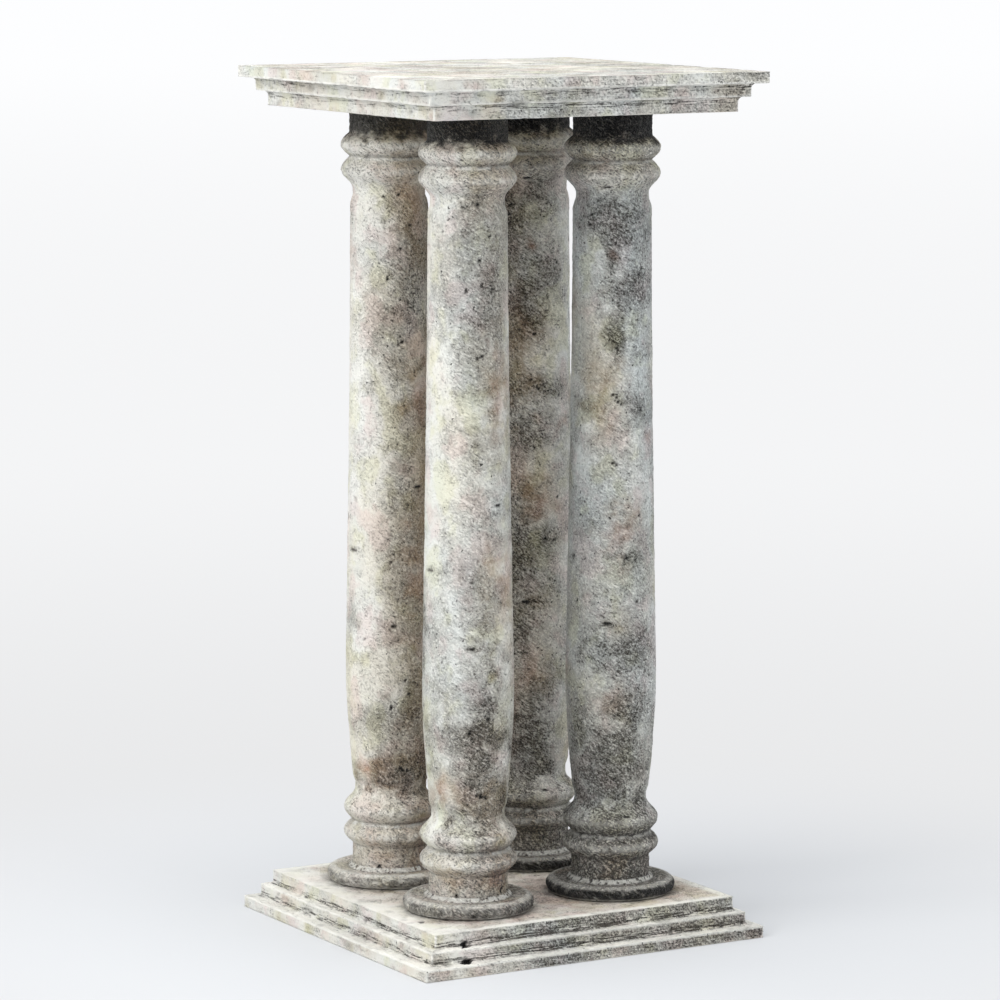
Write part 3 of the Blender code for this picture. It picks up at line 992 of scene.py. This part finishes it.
def stone_patterns(graph, streaks):
    """The patterns that the colour and the relief of the stone share."""
    made = SimpleNamespace(spot=graph.place())
    slanted = graph.place((STROKE_LENGTH, 1.0, 1.0), (0, STROKE_FALL, VIEW_AZIMUTH), "TEXTURE")
    made.cloud = graph.noise(made.spot, CLOUD_SIZE, 4, 0.52, 0.5)
    made.warm = graph.noise(graph.place((1, 1, 0.7), (radians(40), 0, 0)), WARM_SIZE, 3, 0.5)
    made.hue = graph.noise(graph.place((1, 1, 0.8), (0, radians(30), 0)), HUE_SIZE, 3, 0.55)
    made.grain = graph.noise(made.spot, GRAIN_PATTERN_SIZE, 2, 0.60)
    made.hair = graph.noise(slanted, STROKE_SIZE, 3, 0.62, 0.5)
    made.speck = graph.noise(made.spot, SPECK_SIZE, 3, 0.70, 0.6)
    line = graph.noise(graph.place((0.32, 0.32, 5)), LINE_SIZE, 3, 0.62)

    field = graph.times(graph.minus(made.grain, 0.5), 2.4)
    field = graph.plus(field, graph.times(graph.minus(made.hair, 0.5), 3.0))
    level = graph.times(graph.minus(line, 0.5), streaks)
    # The lines mask strengthens the level streaks in the grooves and coves, partly as painted shade there
    level = graph.times(level, graph.scaled(graph.mask("lines"), 4.0, 1.0))
    field = graph.plus(field, level)
    marks = graph.math("POWER", graph.math("MAXIMUM", field, 0.0), 1.5)
    light_marks = graph.math("MAXIMUM", graph.math("MINIMUM", field, 0.0), -0.6)
    made.field = graph.scaled(light_marks, 0.75, marks)

    swing = graph.times(graph.minus(made.cloud, 0.5), 0.75)
    # Soot tone, partly painted shade, made uneven by the clouds
    made.dirt = graph.plus(graph.mask("soot"), swing)
    lively = graph.scaled(graph.mask("rough"), 1.15, 0.30)
    lively = graph.scaled(graph.math("MAXIMUM", made.dirt, 0.0), 0.50, lively)
    tone = graph.scaled(made.dirt, 0.85, graph.times(made.field, lively))
    tone = graph.minus(tone, 0.06)
    made.shade = graph.math("MINIMUM", graph.math("MAXIMUM", tone, 0.0), 1.0)
    return made


def fine_pits(graph, made):
    """Small round pits of the stone, more of them where it is sooty: 1 inside a pit and 0 outside."""
    wander = graph.add("TexNoise", {"Vector": made.spot, "Scale": WANDER_WAVES, "Detail": 2.0})
    crooked = graph.add("Mix", {0: WANDER_SHARE, 4: made.spot}, data_type="VECTOR")
    graph.tree.links.new(wander.outputs["Color"], crooked.inputs[5])
    cells = graph.add("TexVoronoi", {"Vector": crooked.outputs[1], "Scale": PIT_CELLS})
    draw = graph.add("SeparateColor", {"Color": cells.outputs["Color"]})
    share = graph.scaled(graph.mask("soot"), 0.95, -0.02)
    chosen = graph.math("LESS_THAN", draw.outputs["Red"], share)
    reach = graph.scaled(draw.outputs["Green"], 0.17, 0.015)
    pit = graph.ease(graph.minus(cells.outputs["Distance"], reach), 0.035, -0.02)
    return graph.times(pit, chosen)


def stone_colour(graph, made, specks, pit):
    """The stone's colour: the clean stone, its soot and stains, then specks, wear with painted highlights,
    pits and grime with painted shade, and the black of soot and painted shade.
    """
    base = graph.mix(graph.ease(made.warm, 0.38, 0.66, 0.0, 0.65), PALE, CREAM)
    base = graph.mix(graph.mask("cool"), base, COOL_TINT, "MULTIPLY")
    base = graph.mix(graph.ease(made.hue, 0.51, 0.64, 0.0, 0.75), base, PINK_TINT, "MULTIPLY")
    base = graph.mix(graph.ease(made.hue, 0.48, 0.35, 0.0, 0.65), base, OLIVE_TINT, "MULTIPLY")
    base = graph.mix(graph.times(made.shade, 0.93), base, SOOT_AND_SHADE_GREY)
    blotch = graph.ease(made.cloud, 0.30, 0.60, 0.55, 1.0)
    for stain, tint in (("umber", UMBER_TINT), ("rust", RUST_TINT), ("moss", MOSS_TINT)):
        base = graph.mix(graph.times(graph.mask(stain), blotch), base, tint, "MULTIPLY")
    fleck = graph.scaled(graph.mask("rough"), 0.08, 0.16)
    base = graph.mix(graph.times(graph.ease(made.field, -0.08, -0.40), fleck), base, WORN_AND_HIGHLIGHT)
    base = graph.mix(graph.times(specks, 0.75), base, DIRT_AND_SHADE)
    # Rubbed arrises, with painted highlights on the grooves and disc crests and painted light on caps and the
    # plinth's top
    wear = graph.times(graph.mask("wear"), graph.ease(made.field, 1.0, 0.2, 0.55, 1.0))
    base = graph.mix(wear, base, WORN_AND_HIGHLIGHT)
    # Pits painted dark as shade
    base = graph.mix(graph.times(pit, 0.85), base, PIT_SHADE)
    # Grime and painted shade in hollows, grooves, pits and under the disc crests
    hollow = graph.times(graph.mask("hollow"), graph.ease(made.hair, 0.32, 0.58, 0.60, 1.0))
    base = graph.mix(hollow, base, DIRT_AND_SHADE)
    # Black of soot and painted shade at the necks, and black painted shade under disc crests and in gouges
    neck = graph.times(graph.mask("neck"), graph.ease(made.field, -0.45, 0.05, 0.86, 1.0))
    return graph.mix(neck, base, SHADE_AND_SOOT_BLACK)


def stone_relief(graph, made, specks, pit):
    """The fine relief of the stone, as a normal."""
    strokes = graph.times(made.hair, -1.4)
    relief = graph.plus(graph.times(made.grain, -0.8), strokes)
    steep = graph.scaled(made.shade, 0.9, 0.74)
    steep = graph.scaled(graph.mask("rough"), 0.7, steep)
    relief = graph.times(relief, steep)
    relief = graph.plus(relief, graph.times(specks, -0.7))
    relief = graph.plus(relief, graph.times(pit, -0.9))
    inputs = {"Height": relief, "Strength": BUMP_STRENGTH, "Distance": BUMP_HEIGHT}
    return graph.add("Bump", inputs).outputs["Normal"]


def stone(name, streaks):
    """Weathered limestone; streaks is how strongly level lines show, as on sawn blocks."""
    graph = Graph(name)
    made = stone_patterns(graph, streaks)
    limit = graph.scaled(graph.mask("rough"), -0.045, 0.70)
    limit = graph.scaled(made.dirt, -0.13, limit)
    specks = graph.ease(graph.minus(made.speck, limit), 0.0, 0.05)
    pit = fine_pits(graph, made)
    links = graph.tree.links
    links.new(stone_relief(graph, made, specks, pit), graph.shader.inputs["Normal"])
    links.new(stone_colour(graph, made, specks, pit), graph.shader.inputs["Base Color"])
    links.new(graph.ease(made.shade, 0, 1, 0.86, 0.97), graph.shader.inputs["Roughness"])
    graph.shader.inputs["Specular IOR Level"].default_value = 0.15
    graph.shader.inputs["Sheen Weight"].default_value = 0.15
    graph.shader.inputs["Sheen Roughness"].default_value = 0.35
    return graph.material


# How each column looks, with one value for each of the COLUMN_NODES: strengths, where one below 0 cleans. A
# name with turned in it is for the side away from pale_turn, which is in degrees from the facing side and is
# where the light falls; the soot given for the turned side is partly painted shade.
COLUMN_NODES = ("column_front_left", "column_back_left", "column_front_right", "column_back_right")
COLUMN_LOOKS = {
    "stains": (LIT_STAINS, LIT_STAINS, SHADED_STAINS, SHADED_STAINS),
    "gouges": (LIT_GOUGES, LIT_GOUGES, SHADED_GOUGES, SHADED_GOUGES),
    "spots": (FRONT_LEFT_SPOTS, BACK_LEFT_SPOTS, FRONT_RIGHT_SPOTS, BACK_RIGHT_SPOTS),
    "patches": (0.66, 0.66, 0.55, 0.55),
    "pale_turn": (-60, -60, -60, 80),
    "soot": (0.07, 0.08, 0.37, 0.28),
    "soot_turned": (0.22, 0.31, 0.03, 0.60),
    "middle_soot": (0.10, 0.0, 0.0, 0.0),
    "cap_soot": (-0.10, -0.12, -0.06, -0.08),
    "foot_soot": (0.22, -0.14, 0.88, 0.30),
    "disc_soot": (0.20, 0.16, 0.95, 0.0),
    # Painted shade under a foot disc's crest: its black and its darkness
    "disc_black": (0.15, 0.10, 0.90, 0.6),
    "under": (0.45, 0.40, 0.95, 0.90),
    # Black of soot and painted shade at the neck under the slab, then soot and painted shade below it
    "neck": (0.98, 0.90, 1.0, 0.98),
    "upper_soot_and_shade": (0.16, 0.16, 0.50, 0.40),
    "cool": (0.38, 0.0, 0.65, 0.25),
    "umber_turned": (0.25, 0.85, 0.0, 0.60),
    "brown_soot": (0.40, 0.50, 0.15, 0.30),
    "rough_turned": (0.08, 0.55, 0.20, 0.50),
    # Paler caps and feet, on the caps as painted light against the shade under the slab
    "pale_ends": (0.16, 0.24, 0.06, 0.10),
    # Painted highlights below the ring grooves
    "bead": (0.9, 0.9, 0.8, 0.9),
}
COLUMNS = {
    node: SimpleNamespace(**{name: values[index] for name, values in COLUMN_LOOKS.items()})
    for index, node in enumerate(COLUMN_NODES)
}

# How the slab and the plinth look, in that order
PLATE_LOOKS = {
    "soot": (-0.06, 0.01),
    "level_soot": (0.28, -0.20),
    "front_soot": (0.30, 0.66),
    "front_rough": (0.20, 0.25),
    "border_wear": (0.0, 0.7),
    # Grime and painted shade in the coves
    "recess_grime_and_shade": (0.05, 0.10),
    "cove_soot": (0.08, 0.28),
}
SLAB, PLINTH = (
    SimpleNamespace(**{name: values[index] for name, values in PLATE_LOOKS.items()}) for index in range(2)
)

# How strongly level lines show on each kind of piece
COLUMN_STREAKS = 0.3
SLAB_STREAKS = 1.5
PLINTH_STREAKS = 2.2


def make_pedestal():
    """All six pieces, each with its stone."""
    column_stone = stone("column_limestone", COLUMN_STREAKS)
    for index, (node, looks) in enumerate(COLUMNS.items()):
        piece = column(node, looks, 100 * (index + 1))
        piece.data.materials.append(column_stone)
        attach(piece, "root")
    slab = plate("top_slab", True, [], SLAB, 500)
    slab.data.materials.append(stone("slab_limestone", SLAB_STREAKS))
    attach(slab, "root")
    plinth = plate("base_plinth", False, PLINTH_GOUGES, PLINTH, 600)
    plinth.data.materials.append(stone("plinth_limestone", PLINTH_STREAKS))
    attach(plinth, "root")


# Studio
FLOOR_RADIUS = 70.0
FLOOR_DROP = 0.0002
FLOOR_GREY = (0.63, 0.642, 0.66, 1.0)
FAR_WHITE = (0.985, 0.99, 1.0, 1.0)
WORLD_LIGHT = (0.93, 0.96, 1.0, 1.0)
WORLD_STRENGTH = 0.72

# Softboxes: place, width in metres, power in watts and tint; all of them aim at one point
LIGHT_AIM = (0, 0, 0.4)
SOFTBOXES = {
    "top_box": ((-0.3, -0.2, 3.4), 2.6, 62, (1.0, 0.99, 0.97)),
    "left_box": ((-3.2, -0.5, 2.4), 2.2, 78, (1.0, 0.985, 0.96)),
    "front_box": ((1.4, -3.8, 1.5), 2.4, 36, (1.0, 1.0, 1.0)),
}


def make_floor():
    """A wide pale floor that takes shadows near the pedestal and fades to white far away."""
    bpy.ops.mesh.primitive_circle_add(vertices=96, radius=FLOOR_RADIUS, fill_type="NGON")
    floor = bpy.context.object
    floor.name = "floor"
    floor.location.z = -FLOOR_DROP
    graph = Graph("pale_floor")
    spot = graph.add("TexCoord", {}).outputs["Object"]
    away = graph.add("VectorMath", {0: spot}, operation="LENGTH").outputs["Value"]
    graph.shader.inputs["Base Color"].default_value = FLOOR_GREY
    graph.shader.inputs["Roughness"].default_value = 1.0
    graph.shader.inputs["Specular IOR Level"].default_value = 0.0
    rising = graph.plus(graph.ease(away, 0.2, 4.0, 0.82, 0.92), graph.ease(away, 3.0, 22.0, 0.0, 0.08))
    glow = graph.add("Emission", {"Color": FAR_WHITE, "Strength": rising})
    seen = graph.add("LightPath", {}).outputs["Is Camera Ray"]
    fade = graph.times(graph.ease(away, 0.22, 1.0), seen)
    blend = graph.add("MixShader", {0: fade, 1: graph.shader.outputs[0], 2: glow.outputs[0]})
    output = graph.tree.nodes["Material Output"]
    graph.tree.links.new(blend.outputs[0], output.inputs["Surface"])
    floor.data.materials.append(graph.material)


def make_world():
    """Even dim light from all round, white to look at."""
    world = bpy.data.worlds.new("studio")
    bpy.context.scene.world = world
    world.use_nodes = True
    tree = world.node_tree
    dim = tree.nodes["Background"]
    dim.inputs["Color"].default_value = WORLD_LIGHT
    dim.inputs["Strength"].default_value = WORLD_STRENGTH
    white = tree.nodes.new("ShaderNodeBackground")
    white.inputs["Color"].default_value = FAR_WHITE
    seen = tree.nodes.new("ShaderNodeLightPath")
    blend = tree.nodes.new("ShaderNodeMixShader")
    tree.links.new(seen.outputs["Is Camera Ray"], blend.inputs[0])
    tree.links.new(dim.outputs[0], blend.inputs[1])
    tree.links.new(white.outputs[0], blend.inputs[2])
    tree.links.new(blend.outputs[0], tree.nodes["World Output"].inputs["Surface"])


def make_softbox(name, place, width, power, tint):
    """A square area light at a place, turned to the point that all of them aim at."""
    data = bpy.data.lights.new(name, "AREA")
    data.size = width
    data.energy = power
    data.color = tint
    light = bpy.data.objects.new(name, data)
    bpy.context.scene.collection.objects.link(light)
    light.location = place
    light.rotation_euler = (Vector(LIGHT_AIM) - Vector(place)).to_track_quat("-Z", "Y").to_euler()


def make_camera():
    """The camera, at the photo's angle and distance."""
    data = bpy.data.cameras.new("camera")
    data.lens = LENS
    data.sensor_width = SENSOR_WIDTH
    camera = bpy.data.objects.new("camera", data)
    bpy.context.scene.collection.objects.link(camera)
    target = Vector((0, 0, cad_box[1][2] / 2))
    back = Vector(
        (
            sin(VIEW_AZIMUTH) * cos(VIEW_ELEVATION),
            -cos(VIEW_AZIMUTH) * cos(VIEW_ELEVATION),
            sin(VIEW_ELEVATION),
        )
    )
    camera.location = target + back * VIEW_DISTANCE
    camera.rotation_euler = (-back).to_track_quat("-Z", "Y").to_euler()
    bpy.context.scene.camera = camera


make_pedestal()
make_floor()
make_world()
for name, (place, width, power, tint) in SOFTBOXES.items():
    make_softbox(name, place, width, power, tint)
make_camera()
bpy.context.scene.view_settings.view_transform = "Standard"
